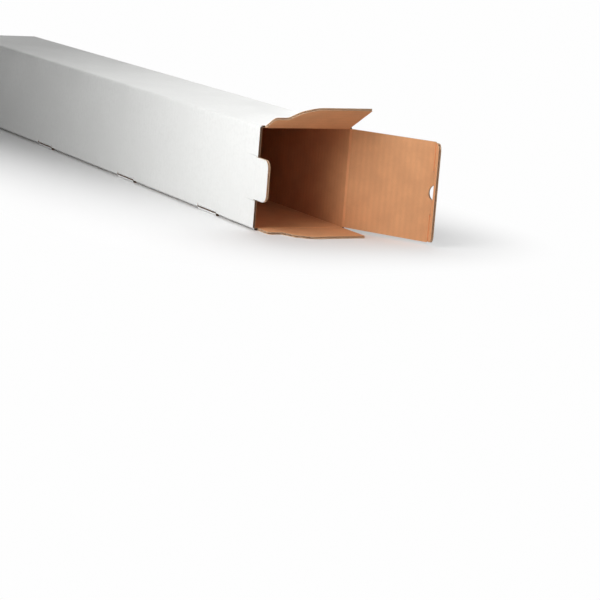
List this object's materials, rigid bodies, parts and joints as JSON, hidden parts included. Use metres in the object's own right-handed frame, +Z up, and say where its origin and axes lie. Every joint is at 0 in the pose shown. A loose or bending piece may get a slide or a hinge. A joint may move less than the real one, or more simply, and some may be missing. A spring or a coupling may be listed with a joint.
{
  "type": "cardboard mailing tube",
  "caption": "Long square mailing tube folded from white-lined corrugated board with a kraft inside; one end closed and locked, the other open with its lid, dust flaps and tongue spread",
  "frame": {"origin": "on the underside, at the middle of the tube's length and width", "axes": "+X along the tube to its open end, +Y to the wall that the end lids hang on, +Z up"},
  "size_m": [0.9564, 0.1537, 0.1287],
  "materials": {
    "board": "matt white liner outside, brown kraft liner inside"
  },
  "bodies": {
    "tube": {"tube_body": "board"},
    "top_flap": {"top_dust_flap": "board"},
    "bottom_flap": {"bottom_dust_flap": "board"},
    "lid": {"end_lid": "board"},
    "tuck": {"tuck_flap": "board"},
    "tongue": {"locking_tongue": "board"}
  },
  "joints": [
    {"name": "top_flap_fold", "type": "hinge", "parent": "tube", "child": "top_flap", "pos_m": [0.42575, 0, 0.10375], "axis": [0, -1, 0], "range_deg": [-119.5, 60.5]},
    {"name": "bottom_flap_fold", "type": "hinge", "parent": "tube", "child": "bottom_flap", "pos_m": [0.42575, 0, 0.00125], "axis": [0, 1, 0], "range_deg": [-90, 0]},
    {"name": "lid_fold", "type": "hinge", "parent": "tube", "child": "lid", "pos_m": [0.42875, 0.05125, 0.05295], "axis": [0, 0, 1], "range_deg": [-119, 61]},
    {"name": "tuck_fold", "type": "hinge", "parent": "lid", "child": "tuck", "pos_m": [0.51464, 0.09886, 0.05295], "axis": [0, 0, 1], "range_deg": [-43, 22.1]},
    {"name": "tongue_fold", "type": "hinge", "parent": "tube", "child": "tongue", "pos_m": [0.42575, -0.05125, 0.0525], "axis": [0, 0, -1], "range_deg": [-90, 0]}
  ],
  "couplings": [
    {"joint": "tuck_fold", "follows": "lid_fold", "ratio": 0.36134}
  ]
}
